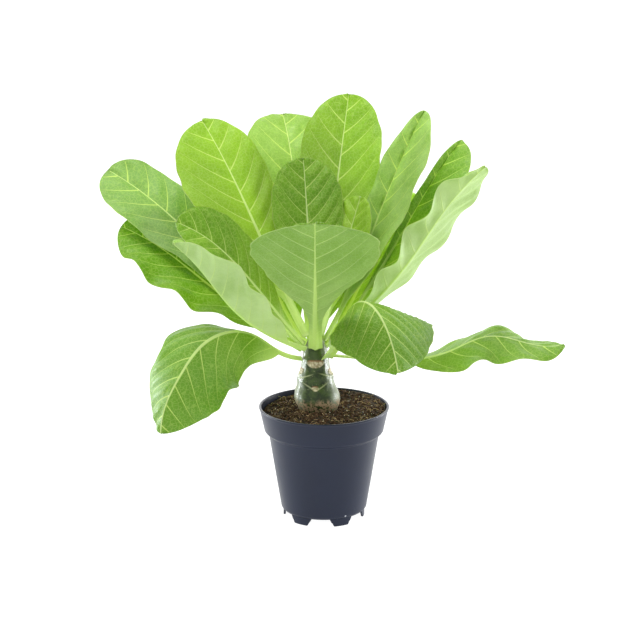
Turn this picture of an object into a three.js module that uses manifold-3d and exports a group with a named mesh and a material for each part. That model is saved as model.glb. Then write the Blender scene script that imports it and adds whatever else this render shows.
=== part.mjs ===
// Potted brighamia: a nursery pot, its soil, a swollen stem and a rosette of spoon-shaped leaves.
// Millimetres, +Z up. The origin is on the pot's axis, on the surface that the pot's feet stand on.
import * as THREE from "three";
import { mergeVertices } from "three/addons/utils/BufferGeometryUtils.js";
import Module from "manifold-3d";

const wasm = await Module();
wasm.setup();

// ---------------------------------------------------------------- driving dimensions

const GAP = 0.3; // clearance where two pieces touch
const CUT = 1; // how far a cutting tool runs past the face that it cuts

const POT = {
  height: 114,
  rimRadius: 65,
  lip: 0.7, // how far the lip stands out of the rim band
  lipHeight: 2.2,
  bandHeight: 24.5,
  bandFootRadius: 59.6,
  shoulder: 3, // height of the slope from the band in to the body
  bodyTopRadius: 55.4,
  bodyFootRadius: 43,
  bevel: 2,
  wall: 1.6,
  floor: 2.2,
  footHeight: 7.4,
  footRadius: 41,
  footRing: 3.4, // radial thickness of the ring of feet
  feet: 6,
  firstGap: 25, // azimuth of one gap between two feet
  gapTop: 20,
  gapFoot: 27,
  drainRadius: 4,
  drainCircle: 26,
  facets: 48,
};

const SOIL = {
  wallDrop: 5, // depth of the surface below the rim at the wall
  stemDrop: 2.5, // depth of the surface below the rim at the stem
  stemRadius: 20, // radius of the mound's top
  riseX: 0.05, // the surface rises this much for each millimetre towards +X
  riseY: 0.045, // and this much towards +Y
  facets: 36,
};

// The stem's heights are above the rim. Its profile is [radius, height] from foot to crown.
const STEM = {
  footX: -6, // the stem grows a little off the pot's axis
  crownX: -8.5, // and leans a little
  leanHeight: 28,
  facets: 28,
  profile: [
    [0, -28], [6, -26], [12, -20], [16, -12], [18.5, -6], [20.3, 0], [22, 4], [22.8, 9],
    [21.6, 15], [19.4, 21], [17.6, 27], [16.5, 32], [15, 38], [13.8, 45], [12.8, 52],
    [11.4, 58], [9, 64], [6, 70], [3.5, 74], [0, 76],
  ],
};

const BUD = { height: 26, radius: 3.4, facets: 12 };

const LEAF = {
  rows: 12,
  columns: 6,
  steps: 96, // steps along the midrib
  crowding: 1.35, // rows come closer together towards the tip
  blade: 1, // thickness of the blade
  ridge: 2, // extra thickness of the stalk's foot
  stalkWidth: 0.05, // half width of the stalk as a share of the leaf's width
  tipWidth: 0.02, // half width of the tip as a share of the leaf's width
};

// One row a leaf. foot is its radius from the stem's axis and its height above the rim. heading
// is the midrib's azimuth and climb its slope in degrees, at even stations from foot to tip.
// stalk is the share of the length before the blade, belly the place of the widest point, and
// blunt is lower for a rounder tip. roll turns the blade about the midrib, left side up. left
// and right are the two half blades: how far each folds up, how much more it curls by its
// margin, and its width as a share of half the leaf's width.
const LEAVES = [
  { foot: [13, 62], heading: [157], climb: [31, 42, 38, 24], length: 270, width: 90,
    stalk: 0.16, belly: 0.72, blunt: 0.4, roll: [-20, -36], left: [10, 0, 0.95], right: [10, 0, 0.72] },
  { foot: [14, 57], heading: [165, 166], climb: [27, 33, 36, 20], length: 220, width: 92,
    stalk: 0.16, belly: 0.64, blunt: 0.5, roll: [-15, -30], left: [5, 0, 1], right: [10, 0, 0.95] },
  { foot: [12.5, 64], heading: [188], climb: [49, 53, 46, 22], length: 178, width: 54,
    stalk: 0.16, belly: 0.62, blunt: 0.5, roll: [-20, -50], left: [12, 0, 1], right: [12, 0, 1.3] },
  { foot: [13.5, 61], heading: [218, 216], climb: [22, 34, 52, 40], length: 197, width: 76,
    stalk: 0.14, belly: 0.56, blunt: 0.5, roll: [0, -5], left: [35, 0, 1], right: [20, 0, 1] },
  { foot: [10.5, 70], heading: [142, 140, 136], climb: [54, 58, 56, 46], length: 246, width: 104,
    stalk: 0.16, belly: 0.64, blunt: 0.5, roll: [-10, -28], left: [10, 0, 1.12], right: [8, 0, 0.72] },
  { foot: [12, 62], heading: [103], climb: [53, 62, 60, 33], length: 254, width: 112,
    stalk: 0.16, belly: 0.66, blunt: 0.5, roll: [0, 0], left: [12, 0, 0.9], right: [4, 0, 1.1] },
  { foot: [9.5, 68], heading: [76], climb: [56, 61, 60, 58], length: 261, width: 90,
    stalk: 0.16, belly: 0.66, blunt: 0.5, roll: [0, 0], left: [18, 0, 0.93], right: [12, 0, 1] },
  { foot: [6.5, 74], heading: [100], climb: [64, 70, 70, 64], length: 176, width: 74,
    stalk: 0.16, belly: 0.66, blunt: 0.5, roll: [0, 0], left: [12, 0, 1], right: [12, 0, 1] },
  { foot: [12, 63], heading: [-90], climb: [42, 48, 52, 46], length: 203, width: 119,
    stalk: 0.16, belly: 0.8, blunt: 0.5, roll: [0, 0], left: [-4, 0, 1], right: [-4, 0, 1] },
  { foot: [10.5, 65], heading: [40], climb: [50, 61, 61, 54], length: 255, width: 84,
    stalk: 0.16, belly: 0.62, blunt: 0.6, roll: [0, 0], left: [50, 0, 0.42], right: [12, 0, 1.12] },
  { foot: [13, 61], heading: [30], climb: [42, 52, 55, 46], length: 248, width: 90,
    stalk: 0.16, belly: 0.66, blunt: 0.5, roll: [0, 10], left: [55, 0, 0.18], right: [0, 0, 1] },
  { foot: [12, 64], heading: [-24], climb: [42, 48, 57, 42], length: 248, width: 84,
    stalk: 0.16, belly: 0.56, blunt: 0.5, roll: [-10, -25], left: [8, 0, 1.02], right: [12, 0, 0.55] },
  { foot: [8, 71], heading: [48], climb: [62, 66, 67, 64], length: 144, width: 60,
    stalk: 0.16, belly: 0.66, blunt: 0.5, roll: [0, 0], left: [12, 0, 1], right: [12, 0, 1] },
  { foot: [14.5, 54], heading: [-54, -62], climb: [44, 54, -30, -74], length: 188, width: 104,
    stalk: 0.12, belly: 0.56, blunt: 0.5, roll: [0, 5], left: [-22, -10, 1.5], right: [-35, 0, 1] },
  { foot: [14.5, 54], heading: [-12], climb: [-2, -2, 12, 28, -14, 14], length: 236, width: 76,
    stalk: 0.34, belly: 0.56, blunt: 0.5, roll: [10, 45, 30], left: [-40, 0, 0.75], right: [12, 0, 0.88] },
  { foot: [15, 52], heading: [200, 202], climb: [10, 38, -6, -50, -62, -88], length: 210, width: 100,
    stalk: 0.12, belly: 0.55, blunt: 0.5, roll: [-20, -50, -84, -62], left: [0, -10, 1.1],
    right: [-58, -15, 0.95] },
  { foot: [14, 58], heading: [47], climb: [38, 50, 48, 44], length: 190, width: 64,
    stalk: 0.16, belly: 0.62, blunt: 0.5, roll: [0, 0], left: [12, 0, 1], right: [12, 0, 1] },
  { foot: [14, 58], heading: [80], climb: [34, 47, 44, 38], length: 172, width: 80,
    stalk: 0.16, belly: 0.64, blunt: 0.5, roll: [0, 0], left: [12, 0, 1], right: [12, 0, 1] },
  { foot: [14, 56], heading: [122], climb: [28, 38, 35, 26], length: 172, width: 80,
    stalk: 0.16, belly: 0.64, blunt: 0.5, roll: [0, 0], left: [12, 0, 1], right: [12, 0, 1] },
];

// ---------------------------------------------------------------- helpers

const radians = THREE.MathUtils.degToRad;

function material(color, roughness) {
  return new THREE.MeshStandardMaterial({ color, roughness, metalness: 0 });
}

const FINISH = {
  pot: material(0x3d4149, 0.45),
  soil: material(0x4f4532, 0.95),
  stem: material(0x6d7a52, 0.5),
  leaf: material(0x86b83c, 0.45),
  bud: material(0xa8cc6a, 0.45),
};

function namedMesh(name, geometry, finish) {
  const mesh = new THREE.Mesh(geometry, finish);
  mesh.name = name;
  return mesh;
}

// A profile of [radius, height] turned about the Z axis.
function lathe(profile, facets) {
  const points = profile.map(([radius, height]) => new THREE.Vector2(radius, height));
  return new THREE.LatheGeometry(points, facets).rotateX(Math.PI / 2);
}

function toSolid(geometry) {
  const bare = geometry.clone();
  bare.deleteAttribute("normal");
  bare.deleteAttribute("uv");
  const merged = mergeVertices(bare, 1e-4);
  return new wasm.Manifold(new wasm.Mesh({
    numProp: 3,
    vertProperties: new Float32Array(merged.attributes.position.array),
    triVerts: new Uint32Array(merged.index.array),
  }));
}

function toGeometry(solid) {
  const { vertProperties, triVerts } = solid.getMesh();
  return closedGeometry(vertProperties, Array.from(triVerts));
}

function closedGeometry(positions, triangles) {
  const geometry = new THREE.BufferGeometry();
  geometry.setAttribute("position", new THREE.Float32BufferAttribute(positions, 3));
  geometry.setIndex(triangles);
  geometry.computeVertexNormals();
  return geometry;
}

// Value at a share (0 to 1) of the way along even stations, on a smooth curve through them.
function along(stations, share) {
  const last = stations.length - 1;
  if (last === 0) return stations[0];
  const place = share * last;
  const from = Math.min(Math.floor(place), last - 1);
  const [b, c] = [stations[from], stations[from + 1]];
  const a = from > 0 ? stations[from - 1] : 2 * b - c;
  const d = from + 2 <= last ? stations[from + 2] : 2 * c - b;
  const t = place - from;
  const tangents = (c - a) * t + (2 * a - 5 * b + 4 * c - d) * t * t;
  return b + 0.5 * (tangents + (3 * b - a - 3 * c + d) * t * t * t);
}

// ---------------------------------------------------------------- pot

function potShell() {
  const { height, wall, footHeight } = POT;
  const bandFoot = height - POT.bandHeight;
  const bodyTop = bandFoot - POT.shoulder;
  const outer = [
    [0, footHeight],
    [POT.bodyFootRadius - POT.bevel, footHeight],
    [POT.bodyFootRadius, footHeight + POT.bevel],
    [POT.bodyTopRadius, bodyTop],
    [POT.bandFootRadius, bandFoot],
    [POT.rimRadius - POT.lip, height - POT.lipHeight],
    [POT.rimRadius, height - POT.lipHeight + POT.lip],
    [POT.rimRadius, height],
  ];
  const inner = [
    [POT.rimRadius - POT.lip - wall, height],
    [POT.bandFootRadius - wall, bandFoot],
    [POT.bodyTopRadius - wall, bodyTop],
    [POT.bodyFootRadius - wall, footHeight + POT.floor],
    [0, footHeight + POT.floor],
  ];
  return lathe([...outer, ...inner], POT.facets);
}

function footRing() {
  const { footRadius, footRing: ring, footHeight, floor } = POT;
  const top = footHeight + floor / 2;
  const profile = [
    [footRadius - ring, 0],
    [footRadius, 0],
    [footRadius, top],
    [footRadius - ring, top],
    [footRadius - ring, 0],
  ];
  return lathe(profile, POT.facets);
}

// A bar with sloping sides, across the whole ring, that leaves a gap on each side of it.
function footGap(azimuth) {
  const outline = new THREE.Shape([
    new THREE.Vector2(-POT.gapFoot / 2, -CUT),
    new THREE.Vector2(POT.gapFoot / 2, -CUT),
    new THREE.Vector2(POT.gapTop / 2, POT.footHeight),
    new THREE.Vector2(-POT.gapTop / 2, POT.footHeight),
  ]);
  const length = 2 * (POT.footRadius + CUT);
  const bar = new THREE.ExtrudeGeometry(outline, { depth: length, bevelEnabled: false });
  bar.translate(0, 0, -length / 2).rotateX(Math.PI / 2);
  return bar.rotateZ(radians(azimuth) + Math.PI / 2);
}

function drainHole(radius, azimuth) {
  const hole = new THREE.CylinderGeometry(POT.drainRadius, POT.drainRadius, POT.floor + 2 * CUT, 16);
  hole.rotateX(Math.PI / 2);
  return hole.translate(
    radius * Math.cos(azimuth),
    radius * Math.sin(azimuth),
    POT.footHeight + POT.floor / 2,
  );
}

function pot() {
  let ring = toSolid(footRing());
  for (let k = 0; k < POT.feet / 2; k += 1) {
    ring = ring.subtract(toSolid(footGap(POT.firstGap + (k * 360) / POT.feet)));
  }
  let shell = toSolid(potShell()).add(ring).subtract(toSolid(drainHole(0, 0)));
  for (let k = 0; k < POT.feet; k += 1) {
    shell = shell.subtract(toSolid(drainHole(POT.drainCircle, (k * 2 * Math.PI) / POT.feet)));
  }
  return namedMesh("pot", toGeometry(shell), FINISH.pot);
}

// ---------------------------------------------------------------- stem and soil

function lean(height) {
  const share = THREE.MathUtils.clamp((height - POT.height) / STEM.leanHeight, 0, 1);
  return THREE.MathUtils.lerp(STEM.footX, STEM.crownX, share);
}

// The stem's solid, grown outwards by a clearance.
function stemGeometry(clearance) {
  const profile = STEM.profile.map(([radius, height], index) => {
    const end = index === 0 ? -clearance : 0;
    return [radius === 0 ? 0 : radius + clearance, POT.height + height + end];
  });
  const geometry = lathe(profile, STEM.facets);
  const place = geometry.attributes.position;
  for (let k = 0; k < place.count; k += 1) {
    place.setX(k, place.getX(k) + lean(place.getZ(k)));
  }
  return geometry;
}

function stem() {
  return namedMesh("stem", stemGeometry(0), FINISH.stem);
}

function soil() {
  const { height, wall, footHeight } = POT;
  const bandFoot = height - POT.bandHeight;
  const bodyTop = bandFoot - POT.shoulder;
  const inset = wall + 2 * GAP;
  const top = height - SOIL.wallDrop;
  const slope = (POT.rimRadius - POT.lip - POT.bandFootRadius) / POT.bandHeight;
  const topRadius = POT.bandFootRadius + slope * (top - bandFoot) - inset;
  const crest = height - SOIL.stemDrop;
  const profile = [
    [0, footHeight + POT.floor + GAP],
    [POT.bodyFootRadius - inset, footHeight + POT.floor + GAP],
    [POT.bodyTopRadius - inset, bodyTop],
    [POT.bandFootRadius - inset, bandFoot],
    [topRadius - inset, top],
    [(topRadius + SOIL.stemRadius) / 2, (top + crest) / 2],
    [SOIL.stemRadius, crest],
    [0, crest],
  ];
  const geometry = lathe(profile, SOIL.facets);
  const place = geometry.attributes.position;
  for (let k = 0; k < place.count; k += 1) {
    if (place.getZ(k) > bandFoot) {
      const rise = SOIL.riseX * place.getX(k) + SOIL.riseY * place.getY(k);
      place.setZ(k, place.getZ(k) + rise);
    }
  }
  const bed = toSolid(geometry).subtract(toSolid(stemGeometry(GAP)));
  return namedMesh("soil", toGeometry(bed), FINISH.soil);
}

// ---------------------------------------------------------------- leaves

// Half the width of a leaf at a share of its length.
function halfWidth(leaf, share) {
  const stalk = LEAF.stalkWidth * leaf.width * Math.sqrt(1 - share);
  const tip = LEAF.tipWidth * leaf.width;
  const blade = Math.max(0, (share - leaf.stalk) / (1 - leaf.stalk));
  const { belly, blunt } = leaf;
  const widening = (blunt * belly) / (1 - belly);
  const widest = belly ** widening * (1 - belly) ** blunt;
  const lobe = (leaf.width / 2) * (blade ** widening * (1 - blade) ** blunt) / widest;
  return Math.hypot(lobe, stalk, tip);
}

// The midrib's direction and the blade's own directions at a share of the leaf's length.
function leafAxes(leaf, share) {
  const climb = radians(along(leaf.climb, share));
  const heading = radians(along(leaf.heading, share));
  const roll = radians(along(leaf.roll, share));
  const forward = new THREE.Vector3(
    Math.cos(climb) * Math.cos(heading),
    Math.cos(climb) * Math.sin(heading),
    Math.sin(climb),
  );
  const side = new THREE.Vector3(-Math.sin(heading), Math.cos(heading), 0);
  side.applyAxisAngle(forward, roll);
  const up = new THREE.Vector3().crossVectors(forward, side);
  return { forward, side, up };
}

// Where a half blade's section runs to, across and up, at a share of its width.
function halfSection([fold, curl], share) {
  const arc = radians(curl * share);
  const start = radians(fold);
  if (Math.abs(arc) < 1e-6) return [share * Math.cos(start), share * Math.sin(start)];
  return [
    share * (Math.sin(start + arc) - Math.sin(start)) / arc,
    share * (Math.cos(start) - Math.cos(start + arc)) / arc,
  ];
}

function midribPoints(leaf) {
  const [radius, height] = leaf.foot;
  const heading = radians(leaf.heading[0]);
  const point = new THREE.Vector3(
    STEM.crownX + radius * Math.cos(heading),
    radius * Math.sin(heading),
    POT.height + height,
  );
  const points = [point.clone()];
  for (let k = 0; k < LEAF.steps; k += 1) {
    const { forward } = leafAxes(leaf, (k + 0.5) / LEAF.steps);
    point.addScaledVector(forward, leaf.length / LEAF.steps);
    points.push(point.clone());
  }
  return points;
}

// A closed shell: an upper and a lower sheet over the same grid, joined round the margin.
function leafGeometry(leaf) {
  const midrib = midribPoints(leaf);
  const across = LEAF.columns + 1;
  const sheets = [[], []];
  for (let row = 0; row <= LEAF.rows; row += 1) {
    const share = 1 - (1 - row / LEAF.rows) ** LEAF.crowding;
    const place = share * LEAF.steps;
    const from = Math.min(Math.floor(place), LEAF.steps - 1);
    const centre = midrib[from].clone().lerp(midrib[from + 1], place - from);
    const { side, up } = leafAxes(leaf, share);
    const width = halfWidth(leaf, share);
    for (let column = 0; column < across; column += 1) {
      const offset = (2 * column) / LEAF.columns - 1;
      const half = offset > 0 ? leaf.left : leaf.right;
      const [out, rise] = halfSection(half, Math.abs(offset));
      const reach = width * half[2];
      const point = centre.clone();
      point.addScaledVector(side, Math.sign(offset) * out * reach).addScaledVector(up, rise * reach);
      const thickness = LEAF.blade + LEAF.ridge * (1 - share) ** 3 * (1 - Math.abs(offset));
      sheets[0].push(point.clone().addScaledVector(up, thickness / 2));
      sheets[1].push(point.clone().addScaledVector(up, -thickness / 2));
    }
  }
  const lower = sheets[0].length;
  const triangles = [];
  const quad = (a, b, c, d) => triangles.push(a, b, c, a, c, d);
  for (let row = 0; row < LEAF.rows; row += 1) {
    for (let column = 0; column < LEAF.columns; column += 1) {
      const a = row * across + column;
      const b = a + across;
      quad(a, b, b + 1, a + 1);
      quad(lower + a, lower + a + 1, lower + b + 1, lower + b);
    }
    const first = row * across;
    const last = first + LEAF.columns;
    quad(first, lower + first, lower + first + across, first + across);
    quad(last, last + across, lower + last + across, lower + last);
  }
  for (let column = 0; column < LEAF.columns; column += 1) {
    const tip = LEAF.rows * across + column;
    quad(column, column + 1, lower + column + 1, lower + column);
    quad(tip, lower + tip, lower + tip + 1, tip + 1);
  }
  const positions = [...sheets[0], ...sheets[1]].flatMap((point) => point.toArray());
  return closedGeometry(positions, triangles);
}

function leaves() {
  const group = new THREE.Group();
  LEAVES.forEach((leaf, index) => {
    const name = `leaf_${String(index + 1).padStart(2, "0")}`;
    group.add(namedMesh(name, leafGeometry(leaf), FINISH.leaf));
  });
  return group;
}

function crownBud() {
  const profile = [[0, 0], [0.8, 0.06], [1, 0.3], [0.75, 0.65], [0.35, 0.9], [0, 1]];
  const scaled = profile.map(([radius, height]) => [radius * BUD.radius, height * BUD.height]);
  const crown = STEM.profile[STEM.profile.length - 1][1];
  const geometry = lathe(scaled, BUD.facets);
  geometry.translate(STEM.crownX, 0, POT.height + crown + GAP);
  return namedMesh("crown_bud", geometry, FINISH.bud);
}

// ---------------------------------------------------------------- assembly

const group = new THREE.Group();
group.add(pot(), soil(), stem(), leaves(), crownBud());

export default group;
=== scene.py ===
"""Potted brighamia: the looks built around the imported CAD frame. Metres, +Z up."""

import math

import bmesh
import bpy
import numpy as np
from mathutils import Euler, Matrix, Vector, noise


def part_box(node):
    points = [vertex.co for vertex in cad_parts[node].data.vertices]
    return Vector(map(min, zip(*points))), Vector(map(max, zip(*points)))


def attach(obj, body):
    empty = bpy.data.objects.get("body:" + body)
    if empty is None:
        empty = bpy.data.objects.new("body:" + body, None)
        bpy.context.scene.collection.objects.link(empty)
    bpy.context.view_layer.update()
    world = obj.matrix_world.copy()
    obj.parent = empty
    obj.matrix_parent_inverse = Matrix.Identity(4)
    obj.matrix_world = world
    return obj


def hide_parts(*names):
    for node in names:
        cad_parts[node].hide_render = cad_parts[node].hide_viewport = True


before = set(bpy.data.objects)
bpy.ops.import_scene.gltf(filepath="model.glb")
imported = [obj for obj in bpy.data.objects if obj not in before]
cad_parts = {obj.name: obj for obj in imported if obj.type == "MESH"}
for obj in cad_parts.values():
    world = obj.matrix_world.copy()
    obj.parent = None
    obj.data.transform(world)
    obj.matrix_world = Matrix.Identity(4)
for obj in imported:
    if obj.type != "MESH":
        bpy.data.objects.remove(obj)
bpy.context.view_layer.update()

MM = 0.001

# ---------------------------------------------------------------- driving values

_, POT_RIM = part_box("pot")
RIM_HEIGHT = POT_RIM.z
RIM_RADIUS = POT_RIM.x

AIM = Vector((-0.004, 0, 0.202))
AIM_DISTANCE = 1.8
PITCH = math.radians(14.4)
LENS = 102.6
SENSOR = 36

STEM_FOOT_X = -0.006
CROWN_X = -0.0085

# One entry a leaf, in step with the CAD leaves. foot is its radius from the stem's axis and its
# height above the rim. heading is the midrib's azimuth and climb its slope in degrees, at even
# stations from foot to tip. stalk is the share of the length before the blade, belly the place
# of the widest point, and blunt is lower for a rounder tip. roll turns the blade about the
# midrib, left side up. left and right are the half blades: how far each folds up, how much more
# it curls by its margin, and its width. ruffle is the wave of the margins: left height, right
# height, waves and phase. The tone value is higher on a paler leaf: partly the leaf's own green,
# partly painted light, higher on backlit leaves and lower on shaded ones. The last value says
# how much whitish painted sheen, a painted highlight, lies on the leaf.
LEAVES = {
    "leaf_01": dict(foot=(0.013, 0.062), heading=(157,), climb=(31, 42, 38, 24), length=0.27,
                    width=0.09, stalk=0.16, belly=0.72, blunt=0.4, roll=(-20, -36),
                    left=(10, 0, 0.95), right=(10, 0, 0.72), ruffle=(2.5, 3, 4, 40), tone_and_light=-0.15, painted_sheen=0.3),
    "leaf_02": dict(foot=(0.014, 0.057), heading=(165, 166), climb=(27, 33, 36, 20), length=0.22,
                    width=0.092, stalk=0.16, belly=0.64, blunt=0.5, roll=(-15, -30),
                    left=(5, 0, 1), right=(10, 0, 0.95), ruffle=(6, 3, 4.5, 200), tone_and_light=0.1, painted_sheen=0.0),
    "leaf_03": dict(foot=(0.0125, 0.064), heading=(188,), climb=(49, 53, 46, 22), length=0.178,
                    width=0.054, stalk=0.16, belly=0.62, blunt=0.5, roll=(-20, -50),
                    left=(12, 0, 1), right=(12, 0, 1.3), ruffle=(1, 1, 2, 0), tone_and_light=0.2, painted_sheen=0.0),
    "leaf_04": dict(foot=(0.0135, 0.061), heading=(218, 216), climb=(22, 34, 52, 40), length=0.197,
                    width=0.076, stalk=0.14, belly=0.56, blunt=0.5, roll=(0, -5),
                    left=(35, 0, 1), right=(20, 0, 1), ruffle=(3, 3, 4, 90), tone_and_light=0.45, painted_sheen=0.4),
    "leaf_05": dict(foot=(0.0105, 0.07), heading=(142, 140, 136), climb=(54, 58, 56, 46), length=0.246,
                    width=0.104, stalk=0.16, belly=0.64, blunt=0.5, roll=(-10, -28),
                    left=(10, 0, 1.12), right=(8, 0, 0.72), ruffle=(2, 2, 3.5, 10), tone_and_light=0.65, painted_sheen=0.0),
    "leaf_06": dict(foot=(0.012, 0.062), heading=(103,), climb=(53, 62, 60, 33), length=0.254,
                    width=0.112, stalk=0.16, belly=0.66, blunt=0.5, roll=(0, 0),
                    left=(12, 0, 0.9), right=(4, 0, 1.1), ruffle=(2.5, 2.5, 3.5, 70), tone_and_light=0.5, painted_sheen=0.25),
    "leaf_07": dict(foot=(0.0095, 0.068), heading=(76,), climb=(56, 61, 60, 58), length=0.261,
                    width=0.09, stalk=0.16, belly=0.66, blunt=0.5, roll=(0, 0),
                    left=(18, 0, 0.93), right=(12, 0, 1), ruffle=(1.6, 1.8, 3.5, 120), tone_and_light=0.5, painted_sheen=0.0),
    "leaf_08": dict(foot=(0.0065, 0.074), heading=(100,), climb=(64, 70, 70, 64), length=0.176,
                    width=0.074, stalk=0.16, belly=0.66, blunt=0.5, roll=(0, 0),
                    left=(12, 0, 1), right=(12, 0, 1), ruffle=(0.8, 0.8, 2, 30), tone_and_light=0.15, painted_sheen=0.0),
    "leaf_09": dict(foot=(0.012, 0.063), heading=(-90,), climb=(42, 48, 52, 46), length=0.203,
                    width=0.119, stalk=0.16, belly=0.8, blunt=0.5, roll=(0, 0),
                    left=(-4, 0, 1), right=(-4, 0, 1), ruffle=(2, 2, 2.5, 20), tone_and_light=0.1, painted_sheen=0.0),
    "leaf_10": dict(foot=(0.0105, 0.065), heading=(40,), climb=(50, 61, 61, 54), length=0.255,
                    width=0.084, stalk=0.16, belly=0.62, blunt=0.6, roll=(0, 0),
                    left=(50, 0, 0.42), right=(12, 0, 1.12), ruffle=(1.5, 2.5, 4, 60), tone_and_light=0.35, painted_sheen=0.35),
    "leaf_11": dict(foot=(0.013, 0.061), heading=(30,), climb=(42, 52, 55, 46), length=0.248,
                    width=0.09, stalk=0.16, belly=0.66, blunt=0.5, roll=(0, 10),
                    left=(55, 0, 0.18), right=(0, 0, 1), ruffle=(1, 1.5, 3, 150), tone_and_light=0.2, painted_sheen=0.1),
    "leaf_12": dict(foot=(0.012, 0.064), heading=(-24,), climb=(42, 48, 57, 42), length=0.248,
                    width=0.084, stalk=0.16, belly=0.56, blunt=0.5, roll=(-10, -25),
                    left=(8, 0, 1.02), right=(12, 0, 0.55), ruffle=(3, 6, 4.5, 20), tone_and_light=0.6, painted_sheen=0.35),
    "leaf_13": dict(foot=(0.008, 0.071), heading=(48,), climb=(62, 66, 67, 64), length=0.144,
                    width=0.06, stalk=0.16, belly=0.66, blunt=0.5, roll=(0, 0),
                    left=(12, 0, 1), right=(12, 0, 1), ruffle=(0.8, 0.8, 2, 0), tone_and_light=0.7, painted_sheen=0.0),
    "leaf_14": dict(foot=(0.0145, 0.054), heading=(-54, -62), climb=(44, 54, -30, -74), length=0.188,
                    width=0.104, stalk=0.12, belly=0.56, blunt=0.5, roll=(0, 5),
                    left=(-22, -10, 1.5), right=(-35, 0, 1), ruffle=(3, 3, 3, 80), tone_and_light=0.0, painted_sheen=0.0),
    "leaf_15": dict(foot=(0.0145, 0.054), heading=(-12,), climb=(-2, -2, 12, 28, -14, 14),
                    length=0.236, width=0.076, stalk=0.34, belly=0.56, blunt=0.5,
                    roll=(10, 45, 30), left=(-40, 0, 0.75), right=(12, 0, 0.88),
                    ruffle=(5, 6, 4.5, 0), tone_and_light=0.2, painted_sheen=0.1),
    "leaf_16": dict(foot=(0.015, 0.052), heading=(200, 202), climb=(10, 38, -6, -50, -62, -88),
                    length=0.21, width=0.1, stalk=0.12, belly=0.55, blunt=0.5,
                    roll=(-20, -50, -84, -62), left=(0, -10, 1.1), right=(-58, -15, 0.95),
                    ruffle=(5, 7, 4, 30), tone_and_light=-0.1, painted_sheen=0.05),
    "leaf_17": dict(foot=(0.014, 0.058), heading=(47,), climb=(38, 50, 48, 44), length=0.19,
                    width=0.064, stalk=0.16, belly=0.62, blunt=0.5, roll=(0, 0),
                    left=(12, 0, 1), right=(12, 0, 1), ruffle=(1, 1, 3, 0), tone_and_light=0.9, painted_sheen=0.0),
    "leaf_18": dict(foot=(0.014, 0.058), heading=(80,), climb=(34, 47, 44, 38), length=0.172,
                    width=0.08, stalk=0.16, belly=0.64, blunt=0.5, roll=(0, 0),
                    left=(12, 0, 1), right=(12, 0, 1), ruffle=(1.5, 1.5, 3, 100), tone_and_light=0.4, painted_sheen=0.1),
    "leaf_19": dict(foot=(0.014, 0.056), heading=(122,), climb=(28, 38, 35, 26), length=0.172,
                    width=0.08, stalk=0.16, belly=0.64, blunt=0.5, roll=(0, 0),
                    left=(12, 0, 1), right=(12, 0, 1), ruffle=(1.5, 1.5, 3, 50), tone_and_light=0.4, painted_sheen=0.1),
}

POT = dict(
    band_height=0.0245, band_foot=0.0596, shoulder=0.003, body_top=0.0554, body_foot=0.043,
    lip=0.0007, lip_height=0.0022, wall=0.0016, floor=0.0022, foot_height=0.0074,
    foot_radius=0.041, foot_wall=0.0022, feet=6, first_foot=-65, foot_arc=32, foot_sole_arc=21,
    drain_radius=0.004, drain_circle=0.026, fillet=0.0012,
)
POT_SEGMENTS = 192
DRAIN_SEGMENTS = 32
FOOT_SEGMENTS = 16

# The loops of a foot, as shares of its height and whether the sole's edge is rounded there.
FOOT_LOOPS = ((0, True), (0.07, False), (0.5, False), (0.56, False), (1, False), (1.12, False))
FOOT_STEP = 0.52
FOOT_STEP_ARC = 1.6
FOOT_EDGE = 0.0005

# How far the soil lies below the rim at the wall and at the stem, and how it rises to +X and +Y.
SOIL = dict(
    wall_drop=0.005, stem_drop=0.0025, stem_radius=0.02, rise_x=0.05, rise_y=0.045,
    chips=1100, fibres=420, specks=170, clearance=0.0006,
)
SOIL_RINGS = 90
SOIL_SEGMENTS = 192
SOIL_SEED = 7
SCATTER_MARGIN = 0.0022
STEM_CLEARANCE = 0.0205
BED, CHIP, FIBRE, SPECK = 0.0, 0.4, 0.7, 1.0

# The stem's radius and height above the rim, from its foot to its crown, in millimetres.
STEM_PROFILE = [
    (0, -28), (6, -26), (12, -20), (16, -12), (18.5, -6), (20.3, 0), (22, 4), (22.8, 9),
    (21.6, 15), (19.4, 21), (17.6, 27), (16.5, 32), (15, 38), (13.8, 45), (12.8, 52),
    (11.4, 58), (9, 64), (6, 70), (3.5, 74), (0, 76),
]
STEM_LEAN_HEIGHT = 0.028
STEM_ROWS = 280
STEM_SEGMENTS = 224

# The scars that fallen leaves left on the stem: azimuth in degrees, then the height above the
# rim, half the width and half the height in millimetres.
STEM_SCARS = [
    (-90, 46, 9.5, 3.6), (196, 37, 6, 3.4), (-14, 36, 6, 3.4), (90, 40, 7, 3.2),
    (140, 29, 8, 2.8), (40, 31, 8, 2.8), (-92, 22.5, 3.6, 2.2), (160, 18, 8, 2.4), (62, 16, 8, 2.4),
]

# The V-shaped ridges round the stem: azimuth of the V's point in degrees, its height above the
# rim in millimetres, and how steeply its two arms rise.
STEM_RIDGES = [(-90, 21, 0.5), (150, 26, 0.5), (30, 29, 0.5), (-150, 31, 0.4), (-25, 32, 0.4)]

LEAF_ROWS = 100
LEAF_HALF_COLUMNS = 24
MIDRIB_STEPS = 240
ROW_CROWDING = 1.35
BLADE_THICKNESS = 1.0 * MM
MARGIN_THICKNESS = 0.5 * MM
STALK_RIDGE = 2.4 * MM
STALK_WIDTH = 0.055
TIP_WIDTH = 0.02
QUILT_HEIGHT = 1.7 * MM
VEIN_PAIRS = 10
VEIN_SLOPE = 0.7
VEIN_BEND = 1.1

BUD_SHAPE = [0, 0.85, 1, 0.95, 0.8, 0.6, 0.36, 0]
BUD_ROWS = 48
BUD_SEGMENTS = 72

FLOOR_REACH = 40.0


# ---------------------------------------------------------------- helpers


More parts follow.
